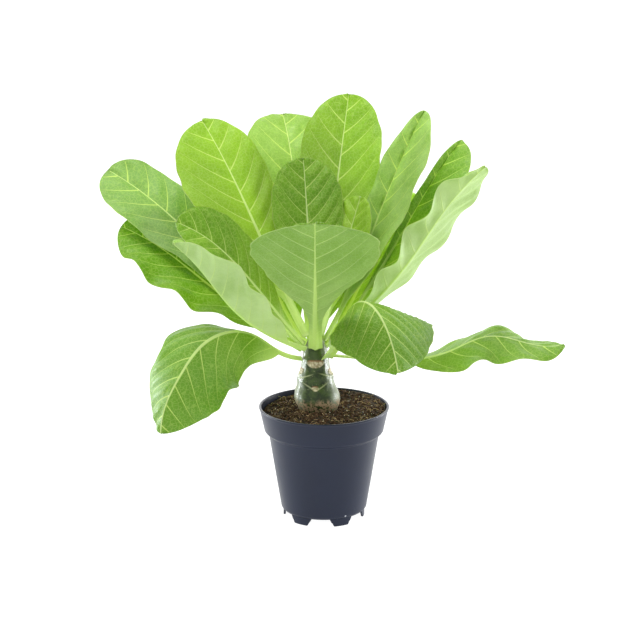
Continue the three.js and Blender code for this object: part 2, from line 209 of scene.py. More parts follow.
def srgb(red, green, blue):
    """A colour given in 0-255 display values, as linear values."""
    linear = []
    for value in (red, green, blue):
        share = value / 255
        linear.append(share / 12.92 if share <= 0.04045 else ((share + 0.055) / 1.055) ** 2.4)
    return (*linear, 1)


def along(stations, share):
    """Values on a smooth curve through even stations, at shares (0 to 1) of its length."""
    values = np.asarray(stations, float)
    last = len(values) - 1
    if last == 0:
        return np.full_like(share, values[0])
    place = share * last
    start = np.minimum(place.astype(int), last - 1)
    before = 2 * values[0] - values[1]
    after = 2 * values[-1] - values[-2]
    padded = np.concatenate(([before], values, [after]))
    a, b, c, d = (padded[start + k] for k in range(4))
    t = place - start
    tangents = (c - a) * t + (2 * a - 5 * b + 4 * c - d) * t**2
    return b + 0.5 * (tangents + (3 * b - a - 3 * c + d) * t**3)


def smoothstep(low, high, value):
    share = np.clip((value - low) / (high - low), 0, 1)
    return share * share * (3 - 2 * share)


def grid_faces(rows, columns, offset=0, closed=False, flip=False):
    """Quads over a grid of points. A closed grid joins its last column to its first."""
    faces = []
    across = columns if closed else columns + 1
    for row in range(rows):
        for column in range(columns):
            a = offset + row * across + column
            b = offset + row * across + (column + 1) % across
            quad = (a, b, b + across, a + across)
            faces.append(quad[::-1] if flip else quad)
    return faces


def new_piece(name, points, faces, materials, slots=None):
    mesh = bpy.data.meshes.new(name)
    mesh.from_pydata([tuple(point) for point in points], [], faces)
    for material in materials:
        mesh.materials.append(material)
    mesh.polygons.foreach_set("use_smooth", [True] * len(mesh.polygons))
    if slots is not None:
        mesh.polygons.foreach_set("material_index", slots)
    mesh.update()
    piece = bpy.data.objects.new(name, mesh)
    bpy.context.scene.collection.objects.link(piece)
    return piece


def add_vector_attribute(piece, name, values):
    attribute = piece.data.attributes.new(name, "FLOAT_VECTOR", "POINT")
    attribute.data.foreach_set("vector", np.asarray(values, np.float32).ravel())


def stands_for(piece, node):
    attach(piece, "root")
    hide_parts(node)


class Graph:
    """A material's nodes, made and joined in a few short calls."""

    def __init__(self, name):
        self.material = bpy.data.materials.new(name)
        self.material.use_nodes = True
        self.tree = self.material.node_tree
        self.tree.nodes.clear()
        self.output = self.tree.nodes.new("ShaderNodeOutputMaterial")

    def put(self, socket, value):
        if isinstance(value, bpy.types.NodeSocket):
            self.tree.links.new(value, socket)
        else:
            socket.default_value = value

    def node(self, kind, settings=None, **inputs):
        made = self.tree.nodes.new("ShaderNode" + kind)
        for key, value in (settings or {}).items():
            setattr(made, key, value)
        for key, value in inputs.items():
            self.put(made.inputs[key.replace("_", " ")], value)
        return made

    def attribute(self, name):
        made = self.node("Attribute", {"attribute_name": name, "attribute_type": "GEOMETRY"})
        return made.outputs["Vector"]

    def parts(self, vector):
        made = self.node("SeparateXYZ", Vector=vector)
        return made.outputs["X"], made.outputs["Y"], made.outputs["Z"]

    def math(self, operation, *values, clamp=False):
        made = self.node("Math", {"operation": operation, "use_clamp": clamp})
        for socket, value in zip(made.inputs, values):
            self.put(socket, value)
        return made.outputs[0]

    def ramp(self, value, low, high, start=0.0, end=1.0):
        settings = {"interpolation_type": "SMOOTHSTEP"}
        made = self.node("MapRange", settings, Value=value)
        for key, number in (("From Min", low), ("From Max", high), ("To Min", start), ("To Max", end)):
            self.put(made.inputs[key], number)
        return made.outputs["Result"]

    def mix(self, share, first, second, blend="MIX"):
        made = self.node("Mix", {"data_type": "RGBA", "blend_type": blend})
        self.put(made.inputs[0], share)
        self.put(made.inputs[6], first)
        self.put(made.inputs[7], second)
        return made.outputs[2]

    def noise(self, vector, scale, detail=3.0, roughness=0.55):
        made = self.node("TexNoise", Vector=vector, Scale=scale, Detail=detail, Roughness=roughness)
        return made.outputs["Fac"]

    def cells(self, vector, scale, feature="DISTANCE_TO_EDGE", output="Distance"):
        made = self.node("TexVoronoi", {"feature": feature}, Vector=vector, Scale=scale)
        return made.outputs[output]

    def bump(self, height, distance, strength=1.0):
        made = self.node("Bump", Height=height, Distance=distance, Strength=strength)
        return made.outputs["Normal"]

    def finish(self, shader):
        self.tree.links.new(shader, self.output.inputs["Surface"])
        return self.material


# ---------------------------------------------------------------- camera, light and floor


def make_camera():
    data = bpy.data.cameras.new("camera")
    data.lens = LENS
    data.sensor_width = SENSOR
    camera = bpy.data.objects.new("camera", data)
    back = Vector((0, -math.cos(PITCH), math.sin(PITCH)))
    camera.location = AIM + back * AIM_DISTANCE
    camera.rotation_euler = (-back).to_track_quat("-Z", "Y").to_euler()
    bpy.context.scene.collection.objects.link(camera)
    bpy.context.scene.camera = camera


def area_light(name, place, size, power, aim=(0, 0, 0.25), colour=(1, 1, 1)):
    data = bpy.data.lights.new(name, "AREA")
    data.shape = "RECTANGLE"
    data.size, data.size_y = size
    data.energy = power
    data.color = colour
    light = bpy.data.objects.new(name, data)
    light.location = place
    light.rotation_euler = (Vector(aim) - Vector(place)).to_track_quat("-Z", "Y").to_euler()
    bpy.context.scene.collection.objects.link(light)


def make_studio():
    world = bpy.data.worlds.new("studio")
    world.use_nodes = True
    background = world.node_tree.nodes["Background"]
    background.inputs["Color"].default_value = (1, 1, 1, 1)
    background.inputs["Strength"].default_value = 1.0
    bpy.context.scene.world = world
    bpy.context.scene.view_settings.view_transform = "Standard"
    area_light("back", (0.1, 1.7, 0.5), (2.4, 1.6), 20)
    area_light("top", (-0.3, -0.1, 1.8), (0.7, 0.7), 20)
    area_light("left", (-1.3, 0.6, 0.25), (0.8, 1.0), 7)
    area_light("right", (1.3, 0.6, 0.25), (0.8, 1.0), 8)
    area_light("low_left", (-0.9, 0.35, 0.06), (0.4, 0.16), 8, (0, 0, 0.02), (0.9, 0.95, 1))
    area_light("low_right", (0.9, 0.35, 0.06), (0.4, 0.16), 8, (0, 0, 0.02), (0.92, 0.94, 1))

    graph = Graph("studio_floor")
    floor_shader = graph.node(
        "BsdfPrincipled", Base_Color=(0.25, 0.25, 0.25, 1), Roughness=1.0,
        Emission_Color=(1, 1, 1, 1), Emission_Strength=0.97,
    )
    material = graph.finish(floor_shader.outputs["BSDF"])
    reach = FLOOR_REACH
    corners = [(-reach, -reach, 0), (reach, -reach, 0), (reach, reach, 0), (-reach, reach, 0)]
    floor = new_piece("studio_floor", corners, [(0, 1, 2, 3)], [material])


# ---------------------------------------------------------------- leaf material


def leaf_masks(graph):
    """The veins of a leaf, worked out from the blade's own coordinates."""
    place = graph.attribute("leaf_place")
    across, _, _ = graph.parts(place)
    phase, edge, share = graph.parts(graph.attribute("leaf_veins"))
    offset = graph.math("ABSOLUTE", across)

    rib_width = graph.ramp(share, 0.05, 0.95, 2.6, 0.5)
    rib_core = graph.math("MULTIPLY", rib_width, 0.7)
    rib = graph.ramp(offset, rib_core, graph.math("MULTIPLY", rib_width, 1.35), 1, 0)

    cycle = graph.math("FRACT", phase)
    apart = graph.math("ABSOLUTE", graph.math("SUBTRACT", cycle, 0.5))
    vein_width = graph.ramp(edge, 0.0, 1.0, 0.055, 0.018)
    side = graph.ramp(apart, graph.math("MULTIPLY", vein_width, 0.25), vein_width, 1, 0)
    side = graph.math("MULTIPLY", side, graph.ramp(edge, 0.8, 0.97, 1, 0))

    net = graph.ramp(graph.cells(place, 0.27), 0.0, 0.1, 1, 0)
    fine = graph.ramp(graph.cells(place, 0.8), 0.0, 0.12, 1, 0)
    return rib, side, net, fine, edge, share


def leaf_material(name, face):
    """face holds the colours and finish of one side of a leaf."""
    graph = Graph(name)
    rib, side, net, fine, edge, share = leaf_masks(graph)
    # The first value is the leaf's tone, partly its own green and partly painted light; the second is its
    # painted sheen.
    tone_and_light, painted_sheen, _ = graph.parts(graph.attribute("leaf_tone_and_light"))
    mottle = graph.noise(graph.attribute("leaf_place"), 0.03, 4.0, 0.6)
    tint_and_glow = graph.math("ADD", tone_and_light, graph.math("MULTIPLY", graph.math("SUBTRACT", mottle, 0.5), 0.7))
    # Paler towards the leaf's foot: a painted glow of light shining through the blade near its base.
    tint_and_glow = graph.math("ADD", tint_and_glow, graph.ramp(share, 0.25, 0.75, 0.4, 0), clamp=True)
    colour = graph.mix(tint_and_glow, face["dark"], face["light"])
    # Whitish patches on the blade: a painted sheen that stands for light glancing off the leaf.
    painted_sheen_share = graph.math("MULTIPLY", painted_sheen, graph.ramp(mottle, 0.3, 0.62, 0.45, 1.0))
    colour = graph.mix(painted_sheen_share, colour, face["painted_sheen"])
    colour = graph.mix(graph.math("MULTIPLY", fine, face["fine"]), colour, face["vein"])
    colour = graph.mix(graph.math("MULTIPLY", net, face["net"]), colour, face["vein"])
    colour = graph.mix(graph.math("MULTIPLY", side, face["side"]), colour, face["vein"])
    colour = graph.mix(graph.math("MULTIPLY", rib, face["rib"]), colour, face["midrib"])
    colour = graph.mix(graph.ramp(edge, 0.975, 1.0, 0, 0.5), colour, face["margin"])
    colour = graph.mix(graph.ramp(share, 0.1, 0.3, 0.75, 0), colour, face["midrib"])

    relief = graph.math("ADD", graph.math("MULTIPLY", side, 0.8), graph.math("MULTIPLY", net, 0.35))
    relief = graph.math("ADD", relief, graph.math("MULTIPLY", fine, 0.15))
    relief = graph.math("ADD", relief, rib)
    normal = graph.bump(graph.math("MULTIPLY", relief, face["relief"]), 0.6 * MM, 0.7)

    gloss = graph.noise(graph.attribute("leaf_place"), 0.09)
    roughness = graph.ramp(gloss, 0.3, 0.7, face["rough"] - 0.05, face["rough"] + 0.07)
    skin = graph.node(
        "BsdfPrincipled", Base_Color=colour, Roughness=roughness, Normal=normal,
        Specular_IOR_Level=face["specular"], Sheen_Weight=face["sheen"], Sheen_Roughness=0.4,
    )
    glow_colour = graph.mix(1.0, colour, face["glow"], "MULTIPLY")
    glow = graph.node("BsdfTranslucent", Color=glow_colour, Normal=normal)
    blend = graph.node("MixShader", Fac=face["through"])
    graph.tree.links.new(skin.outputs["BSDF"], blend.inputs[1])
    graph.tree.links.new(glow.outputs["BSDF"], blend.inputs[2])
    return graph.finish(blend.outputs["Shader"])


# Each face's pale sheen colour is a painted highlight laid over the green.
UPPER_FACE = dict(
    dark=srgb(100, 150, 14), light=srgb(158, 198, 46), vein=srgb(208, 228, 130),
    midrib=srgb(214, 232, 158), margin=srgb(190, 206, 110), painted_sheen=srgb(190, 216, 166),
    glow=(1.2, 1.15, 0.4, 1), fine=0.14, net=0.26, side=0.85, rib=0.95, relief=-0.8, rough=0.38,
    specular=0.36, sheen=0.04, through=0.4,
)
LOWER_FACE = dict(
    dark=srgb(134, 176, 66), light=srgb(196, 218, 144), vein=srgb(208, 228, 154),
    midrib=srgb(200, 224, 142), margin=srgb(204, 220, 150), painted_sheen=srgb(214, 230, 196),
    glow=(1.15, 1.15, 0.5, 1), fine=0.1, net=0.16, side=0.6, rib=0.9, relief=1.0, rough=0.46,
    specular=0.45, sheen=0.2, through=0.42,
)


# ---------------------------------------------------------------- leaf shape


def half_width(leaf, share):
    """Half the width of a leaf at shares of its length."""
    width, belly, blunt = leaf["width"], leaf["belly"], leaf["blunt"]
    stalk = STALK_WIDTH * width * np.sqrt(1 - share)
    blade = np.clip((share - leaf["stalk"]) / (1 - leaf["stalk"]), 0, 1)
    widening = blunt * belly / (1 - belly)
    widest = belly**widening * (1 - belly) ** blunt
    lobe = width / 2 * blade**widening * (1 - blade) ** blunt / widest
    return np.sqrt(lobe**2 + stalk**2 + (TIP_WIDTH * width) ** 2), blade


def leaf_axes(leaf, share):
    """The midrib's direction and the blade's side and up directions at shares of its length."""
    climb = np.radians(along(leaf["climb"], share))
    heading = np.radians(along(leaf["heading"], share))
    roll = np.radians(along(leaf["roll"], share))[:, None]
    level = np.stack([np.cos(heading), np.sin(heading), np.zeros_like(heading)], 1)
    upright = np.array([0, 0, 1.0])
    forward = level * np.cos(climb)[:, None] + upright * np.sin(climb)[:, None]
    side = np.stack([-np.sin(heading), np.cos(heading), np.zeros_like(heading)], 1)
    up = np.cross(forward, side)
    return forward, side * np.cos(roll) + up * np.sin(roll), up * np.cos(roll) - side * np.sin(roll)


def midrib_points(leaf, share):
    radius, height = leaf["foot"]
    heading = math.radians(leaf["heading"][0])
    foot = np.array([
        CROWN_X + radius * math.cos(heading), radius * math.sin(heading), RIM_HEIGHT + height,
    ])
    middles = (np.arange(MIDRIB_STEPS) + 0.5) / MIDRIB_STEPS
    forward, _, _ = leaf_axes(leaf, middles)
    line = foot + np.vstack([np.zeros(3), np.cumsum(forward, 0)]) * leaf["length"] / MIDRIB_STEPS
    stations = np.linspace(0, 1, MIDRIB_STEPS + 1)
    return np.stack([np.interp(share, stations, line[:, axis]) for axis in range(3)], 1)


def column_offsets():
    """Offsets across a leaf from -1 to 1, closest together at the midrib and the margins."""
    even = np.linspace(0, 1, LEAF_HALF_COLUMNS + 1)
    half = 0.3 * even + 0.35 * (1 - np.cos(np.pi * even))
    return np.concatenate([-half[:0:-1], half])


def leaf_blade(leaf, seed, share, offset):
    """The blade before its quilting, and how far each point is from the midrib."""
    width, blade = half_width(leaf, share)
    _, side, up = leaf_axes(leaf, share)
    centre = midrib_points(leaf, share)

    size = np.abs(offset)
    is_left = offset > 0
    fold = np.radians(np.where(is_left, leaf["left"][0], leaf["right"][0]))
    arc = np.radians(np.where(is_left, leaf["left"][1], leaf["right"][1])) * size
    arc = np.where(np.abs(arc) < 1e-6, 1e-6, arc)
    out = size * (np.sin(fold + arc) - np.sin(fold)) / arc
    rise = size * (np.cos(fold) - np.cos(fold + arc)) / arc
    part = np.where(is_left, leaf["left"][2], leaf["right"][2])

    left_wave, right_wave, waves, start = leaf["ruffle"]
    height = np.where(is_left, left_wave, right_wave) * MM * size**2.2
    turn = 2 * np.pi * waves * share[:, None] + math.radians(start) + np.where(is_left, 0, 2.3)
    swell = smoothstep(0.05, 0.4, blade) * (1 - 0.6 * smoothstep(0.85, 1.0, blade))
    ruffle = height[None, :] * np.sin(turn) * swell[:, None]

    nibble = np.sin(share * 41 + seed) + 0.7 * np.sin(share * 77 + 2 * seed)
    reach = width[:, None] * part[None, :] * (1 + 0.012 * nibble * swell)[:, None]
    across = (np.sign(offset) * out)[None, :] * reach
    lift = rise[None, :] * reach + ruffle
    points = centre[:, None] + side[:, None] * across[..., None] + up[:, None] * lift[..., None]
    return points, offset[None, :] * reach, blade


def vein_phase(leaf, seed, distance, lengthwise, is_left):
    """The side veins' count along the leaf: a vein runs where its fraction is a half."""
    wobble = np.sin(lengthwise * 61 + seed) * 0.05 + np.sin(lengthwise * 23 + 2.1 * seed) * 0.09
    sweep = np.abs(distance) * VEIN_SLOPE + VEIN_BEND * distance**2 / leaf["width"]
    stagger = np.where(is_left, 0.0, 0.45)[None, :]
    return (lengthwise - sweep) / leaf["length"] * VEIN_PAIRS + stagger + wobble + 0.13 * seed


def leaf_sheet(leaf, seed):
    """The leaf's middle sheet, its normals and its own coordinates, on a grid."""
    rows = np.arange(LEAF_ROWS + 1) / LEAF_ROWS
    share = 1 - (1 - rows) ** ROW_CROWDING
    offset = column_offsets()
    points, distance, blade = leaf_blade(leaf, seed, share, offset)
    lengthwise = share[:, None] * leaf["length"] + 0 * distance
    phase = vein_phase(leaf, seed, distance, lengthwise, offset > 0)

    size = np.abs(offset)
    quilt = 0.5 + 0.5 * np.cos(2 * np.pi * phase)
    inside = smoothstep(0.02, 0.25, size)[None, :] * (1 - smoothstep(0.75, 1, size))[None, :]
    bulge = quilt * inside * smoothstep(0.1, 0.5, blade)[:, None] * QUILT_HEIGHT
    points = points + sheet_normals(points) * bulge[..., None]
    coordinates = {
        "distance": distance, "lengthwise": lengthwise, "phase": phase,
        "size": size[None, :] + 0 * distance, "share": share[:, None] + 0 * distance,
    }
    return points, sheet_normals(points), coordinates


def sheet_normals(points):
    lengthwise = np.gradient(points, axis=0)
    across = np.gradient(points, axis=1)
    normal = np.cross(lengthwise, across)
    return normal / (np.linalg.norm(normal, axis=2, keepdims=True) + 1e-12)


def make_leaf(name, leaf, seed, materials):
    points, normal, place = leaf_sheet(leaf, seed)
    size, share = place["size"], place["share"]
    blade = BLADE_THICKNESS + (MARGIN_THICKNESS - BLADE_THICKNESS) * smoothstep(0.8, 1, size)
    ridge = STALK_RIDGE * (1 - share) ** 2.2 * np.exp(-((place["distance"] / (3.2 * MM)) ** 2))
    upper = points + normal * (blade / 2)[..., None]
    lower = points - normal * (blade / 2 + ridge)[..., None]

    rows, columns = LEAF_ROWS, len(column_offsets()) - 1
    count = (rows + 1) * (columns + 1)
    faces = grid_faces(rows, columns, flip=True)
    slots = [0] * len(faces)
    faces += grid_faces(rows, columns, offset=count)
    faces += leaf_rim(rows, columns, count)
    slots += [1] * (len(faces) - len(slots))
    everything = np.concatenate([upper.reshape(-1, 3), lower.reshape(-1, 3)])
    piece = new_piece(name + "_blade", everything, faces, materials, slots)

    millimetres = np.stack([place["distance"] / MM, place["lengthwise"] / MM, 0 * share + seed * 37], 2)
    veins = np.stack([place["phase"], size, share], 2)
    # Each leaf's tone, partly painted light, and its painted sheen, carried to every point.
    tone_and_light = np.stack([0 * share + leaf["tone_and_light"], 0 * share + leaf["painted_sheen"], 0 * share], 2)
    for attribute, values in (("leaf_place", millimetres), ("leaf_veins", veins), ("leaf_tone_and_light", tone_and_light)):
        flat = values.reshape(-1, 3)
        add_vector_attribute(piece, attribute, np.concatenate([flat, flat]))
    stands_for(piece, name)


def leaf_rim(rows, columns, count):
    """Quads that join the upper and the lower sheet round the margin."""
    faces = []
    across = columns + 1
    for row in range(rows):
        first = row * across
        last = first + columns
        faces.append((first, first + across, first + across + count, first + count))
        faces.append((last, last + count, last + across + count, last + across))
    for column in range(columns):
        tip = rows * across + column
        faces.append((column, column + count, column + 1 + count, column + 1))
        faces.append((tip, tip + 1, tip + 1 + count, tip + count))
    return faces


def make_leaves():
    materials = [leaf_material("leaf_upper", UPPER_FACE), leaf_material("leaf_lower", LOWER_FACE)]
    for number, (name, leaf) in enumerate(LEAVES.items()):
        make_leaf(name, leaf, float(number), materials)


# ---------------------------------------------------------------- turned shapes


def fillet(profile, radius, steps=4):
    """The profile with each inner corner rounded, by a curve that starts a radius away."""
    corners = [np.array(point, float) for point in profile]
    smooth = [corners[0]]
    for before, corner, after in zip(corners, corners[1:], corners[2:]):
        reach_in = min(radius, np.linalg.norm(before - corner) * 0.45)
        reach_out = min(radius, np.linalg.norm(after - corner) * 0.45)
        start = corner + (before - corner) / np.linalg.norm(before - corner) * reach_in
        end = corner + (after - corner) / np.linalg.norm(after - corner) * reach_out
        for step in range(steps + 1):
            t = step / steps
            smooth.append(start * (1 - t) ** 2 + corner * 2 * t * (1 - t) + end * t**2)
    smooth.append(corners[-1])
    return np.array(smooth)


def turned(profile, segments):
    """Points and faces of a profile of (radius, height) turned about the Z axis."""
    profile = np.asarray(profile, float)
    turn = np.arange(segments) * 2 * np.pi / segments
    ring = np.stack([np.cos(turn), np.sin(turn)], 1)
    flat = profile[:, None, :1] * ring[None]
    height = np.repeat(profile[:, 1:], segments, 1)[..., None]
    points = np.concatenate([flat, height], 2).reshape(-1, 3)
    return points, grid_faces(len(profile) - 1, segments, closed=True)


def weld(piece, distance=1e-6):
    """Joins points that coincide and turns every face outwards."""
    work = bmesh.new()
    work.from_mesh(piece.data)
    bmesh.ops.remove_doubles(work, verts=work.verts, dist=distance)
    bmesh.ops.recalc_face_normals(work, faces=work.faces)
    work.to_mesh(piece.data)
    work.free()


# ---------------------------------------------------------------- pot


def pot_material():
    graph = Graph("pot_plastic")
    place = graph.node("TexCoord").outputs["Object"]
    haze = graph.noise(place, 22, 3.0, 0.6)
    colour = graph.mix(haze, srgb(8, 18, 40), srgb(16, 28, 52))
    speck_place = graph.cells(place, 95, "F1", "Distance")
    speck_pick = graph.node("TexWhiteNoise", {"noise_dimensions": "3D"})
    graph.put(speck_pick.inputs["Vector"], graph.cells(place, 95, "F1", "Position"))
    chosen = graph.math("GREATER_THAN", speck_pick.outputs["Value"], 0.93)
    dust = graph.math("MULTIPLY", chosen, graph.ramp(speck_place, 0.05, 0.12, 1, 0))
    colour = graph.mix(graph.math("MULTIPLY", dust, 0.75), colour, srgb(200, 206, 214))
    grain = graph.noise(place, 900, 2.0)
    normal = graph.bump(grain, 0.05 * MM, 0.5)
    roughness = graph.ramp(haze, 0.3, 0.7, 0.34, 0.42)
    skin = graph.node(
        "BsdfPrincipled", Base_Color=colour, Roughness=roughness, Specular_IOR_Level=0.34,
        Normal=normal,
    )
    return graph.finish(skin.outputs["BSDF"])


def pot_profile():
    """The pot's wall from the middle of its underside, up the outside and down the inside."""
    top, foot = RIM_HEIGHT, POT["foot_height"]
    band_foot = top - POT["band_height"]
    body_top = band_foot - POT["shoulder"]
    wall, lip = POT["wall"], POT["lip"]
    outside = [
        (0, foot), (POT["body_foot"] - 0.0022, foot), (POT["body_foot"], foot + 0.0024),
        (POT["body_top"], body_top), (POT["band_foot"], band_foot),
        (RIM_RADIUS - lip, top - POT["lip_height"]), (RIM_RADIUS, top - POT["lip_height"] + lip),
        (RIM_RADIUS, top),
    ]
    inside = [
        (RIM_RADIUS - lip - wall, top), (POT["band_foot"] - wall, band_foot),
        (POT["body_top"] - wall, body_top), (POT["body_foot"] - wall, foot + POT["floor"]),
        (0, foot + POT["floor"]),
    ]
    return fillet(outside + inside, POT["fillet"])


def foot_points(azimuth):
    """Loops round one foot of the pot from its sole up into the pot's floor."""
    outer = POT["foot_radius"]
    inner = outer - POT["foot_wall"]
    loops = []
    for share, is_rounded in FOOT_LOOPS:
        inset = FOOT_EDGE if is_rounded else 0
        arc = POT["foot_sole_arc"] + (POT["foot_arc"] - POT["foot_sole_arc"]) * min(share, 1)
        arc += FOOT_STEP_ARC if share > FOOT_STEP else 0
        half = math.radians(arc) / 2 - inset / outer
        turns = math.radians(azimuth) + np.linspace(-half, half, FOOT_SEGMENTS + 1)
        loop = [(outer - inset, turn) for turn in turns]
        loop += [(inner + inset, turn) for turn in turns[::-1]]
        height = share * POT["foot_height"]
        loops.append([(r * math.cos(t), r * math.sin(t), height) for r, t in loop])
    return loops


def make_pot():
    points, faces = turned(pot_profile(), POT_SEGMENTS)
    points = [tuple(point) for point in points]
    for foot in range(POT["feet"]):
        loops = foot_points(POT["first_foot"] + foot * 360 / POT["feet"])
        start, across = len(points), len(loops[0])
        for loop in loops:
            points.extend(loop)
        faces += grid_faces(len(loops) - 1, across, start, closed=True)
        faces.append(tuple(range(start + across - 1, start - 1, -1)))
        faces.append(tuple(range(len(points) - across, len(points))))
    piece = new_piece("pot_body", points, faces, [pot_material()])
    weld(piece)
    cut_drains(piece)
    stands_for(piece, "pot")


def cut_drains(piece):
    places = [(0, 0)]
    for hole in range(POT["feet"]):
        turn = hole * 2 * math.pi / POT["feet"]
        places.append((POT["drain_circle"] * math.cos(turn), POT["drain_circle"] * math.sin(turn)))
    points, faces = [], []
    for x, y in places:
        bottom = POT["foot_height"] - 0.002
        top = POT["foot_height"] + POT["floor"] + 0.002
        profile = [(0, bottom), (POT["drain_radius"], bottom), (POT["drain_radius"], top), (0, top)]
        drill, drill_faces = turned(profile, DRAIN_SEGMENTS)
        faces += [tuple(index + len(points) for index in face) for face in drill_faces]
        points.extend(tuple(point + np.array([x, y, 0])) for point in drill)
    cutter = new_piece("drains", points, faces, [])
    weld(cutter)
    modifier = piece.modifiers.new("drains", "BOOLEAN")
    modifier.object = cutter
    modifier.operation = "DIFFERENCE"
    shapes = bpy.context.evaluated_depsgraph_get()
    cut = bpy.data.meshes.new_from_object(piece.evaluated_get(shapes))
    piece.modifiers.clear()
    piece.data = cut
    bpy.data.objects.remove(cutter)
    piece.data.set_sharp_from_angle(angle=math.radians(40))


# ---------------------------------------------------------------- stem


def lean(height):
    """Where the stem's axis is at a height above the rim."""
    share = np.clip(height / STEM_LEAN_HEIGHT, 0, 1)
    return STEM_FOOT_X + (CROWN_X - STEM_FOOT_X) * share


def stem_material():
    graph = Graph("stem_skin")
    place = graph.node("TexCoord").outputs["Object"]
    scar, edge, cork = graph.parts(graph.attribute("stem_marks"))
    painted_sheen, ridge, _ = graph.parts(graph.attribute("stem_bands"))
    mottle = graph.noise(place, 130, 5.0, 0.65)
    streak = graph.noise(place, 420, 3.0, 0.6)
    green = graph.mix(graph.ramp(mottle, 0.35, 0.68), srgb(30, 46, 12), srgb(60, 78, 30))
    green = graph.mix(graph.ramp(streak, 0.58, 0.75, 0, 0.35), green, srgb(160, 160, 120))
    tan = graph.mix(graph.ramp(streak, 0.35, 0.65), srgb(134, 122, 84), srgb(206, 196, 164))
    # Pale grey-green towards the stem's left and right sides: a painted reflection of the studio lights.
    painted_sheen_share = graph.math("MULTIPLY", painted_sheen, graph.ramp(mottle, 0.3, 0.6, 0.3, 0.55))
    green = graph.mix(painted_sheen_share, green, srgb(150, 160, 128))
    colour = graph.mix(graph.math("MULTIPLY", ridge, 0.5), green, srgb(190, 194, 150))
    patch = graph.math("MULTIPLY", cork, graph.ramp(streak, 0.4, 0.55))
    colour = graph.mix(patch, colour, srgb(150, 128, 98))
    colour = graph.mix(scar, colour, tan)
    colour = graph.mix(edge, colour, srgb(142, 92, 62))
    relief = graph.math("ADD", graph.math("MULTIPLY", streak, 0.4), graph.math("MULTIPLY", mottle, 0.8))
    normal = graph.bump(relief, 0.5 * MM, 0.6)
    dull = graph.math("ADD", graph.math("MULTIPLY", scar, 0.3), graph.math("MULTIPLY", cork, 0.3))
    roughness = graph.math("ADD", 0.34, dull)
    skin = graph.node(
        "BsdfPrincipled", Base_Color=colour, Roughness=roughness, Specular_IOR_Level=0.32,
        Normal=normal,
    )
    return graph.finish(skin.outputs["BSDF"])


def turn_between(first, second):
    """The signed angle from one azimuth to another, in radians."""
    return (second - first + np.pi) % (2 * np.pi) - np.pi


def stem_scars(azimuth, level, width):
    """How far the scars stand out, and masks of their faces and upper rims."""
    swell, face, rim = (np.zeros_like(level) for _ in range(3))
    for place, middle, half, tall in STEM_SCARS:
        sideways = turn_between(math.radians(place), azimuth) * width / (half * MM)
        above = level - middle * MM - 0.35 * tall * MM * sideways**2
        round_top = tall * MM * np.sqrt(np.clip(1 - sideways**2, 0.02, 1))
        outward = np.sqrt(sideways**2 + above**2 / (tall * MM) ** 2)
        inside = 1 - smoothstep(0.75, 1.05, outward)
        edge = np.exp(-(((above / round_top - 1) / 0.22) ** 2))
        edge = edge * (1 - smoothstep(0.75, 1.1, np.abs(sideways)))
        shelf = np.exp(-(((above + tall * MM) / (1.6 * MM)) ** 2)) * np.exp(-(sideways**2) * 0.8)
        swell += 0.5 * MM * inside + 0.7 * MM * shelf
        face = np.maximum(face, inside * 0.8)
        rim = np.maximum(rim, edge * 0.6)
    return swell, face, rim


def stem_ridges(azimuth, level, width):
    """How far the ridges stand out, and a mask of their lines."""
    swell, line = np.zeros_like(level), np.zeros_like(level)
    for place, point, rise in STEM_RIDGES:
        sideways = np.abs(turn_between(math.radians(place), azimuth)) * width
        below = point * MM + sideways * rise - level
        near = np.exp(-((below / (0.6 * MM)) ** 2)) * (1 - smoothstep(9 * MM, 16 * MM, sideways))
        step = smoothstep(-1.5 * MM, 1.2 * MM, below) * (1 - smoothstep(3 * MM, 9 * MM, below))
        swell += 0.55 * MM * step * (1 - smoothstep(9 * MM, 18 * MM, sideways))
        line = np.maximum(line, near)
    return swell, line


def stem_wander(azimuth, level):
    """Smooth unevenness round and up the stem."""
    values = [
        noise.noise(Vector((math.cos(a) * 3, math.sin(a) * 3, z * 90)))
        for a, z in zip(azimuth.ravel(), level.ravel())
    ]
    return np.array(values).reshape(level.shape)


def make_stem():
    profile = np.array(STEM_PROFILE, float) * MM
    share = np.linspace(0, 1, STEM_ROWS + 1)
    radius = np.maximum(along(profile[:, 0], share), 0)
    height = along(profile[:, 1], share)
    turns = np.arange(STEM_SEGMENTS) * 2 * np.pi / STEM_SEGMENTS
    azimuth, level = np.meshgrid(turns, height)
    width = np.repeat(radius[:, None], len(turns), 1)

    scar_swell, scar_face, scar_rim = stem_scars(azimuth, level, width)
    ridge_swell, ridge_line = stem_ridges(azimuth, level, width)
    wander = stem_wander(azimuth, level)
    bare = smoothstep(-24 * MM, -4 * MM, level) * (1 - smoothstep(68 * MM, 74 * MM, level))
    width = width + (scar_swell + ridge_swell + 0.5 * MM * wander) * bare
    width[0] = width[-1] = 0

    points = np.stack([
        width * np.cos(azimuth) + lean(level), width * np.sin(azimuth), RIM_HEIGHT + level,
    ], 2).reshape(-1, 3)
    faces = grid_faces(len(height) - 1, len(turns), closed=True)
    piece = new_piece("stem_trunk", points, faces, [stem_material()])
    cork_line = (6 + 5 * wander) * MM
    cork = 1 - smoothstep(0, 6 * MM, level - cork_line)
    # 1 at the stem's left and right sides, where the painted reflection is laid on.
    painted_sheen = smoothstep(0.45, 0.95, np.abs(np.cos(azimuth)))
    add_vector_attribute(piece, "stem_marks", np.stack([scar_face, scar_rim, cork], 2))
    add_vector_attribute(piece, "stem_bands", np.stack([painted_sheen, ridge_line, 0 * level], 2))
    weld(piece)
    stands_for(piece, "stem")


# ---------------------------------------------------------------- soil


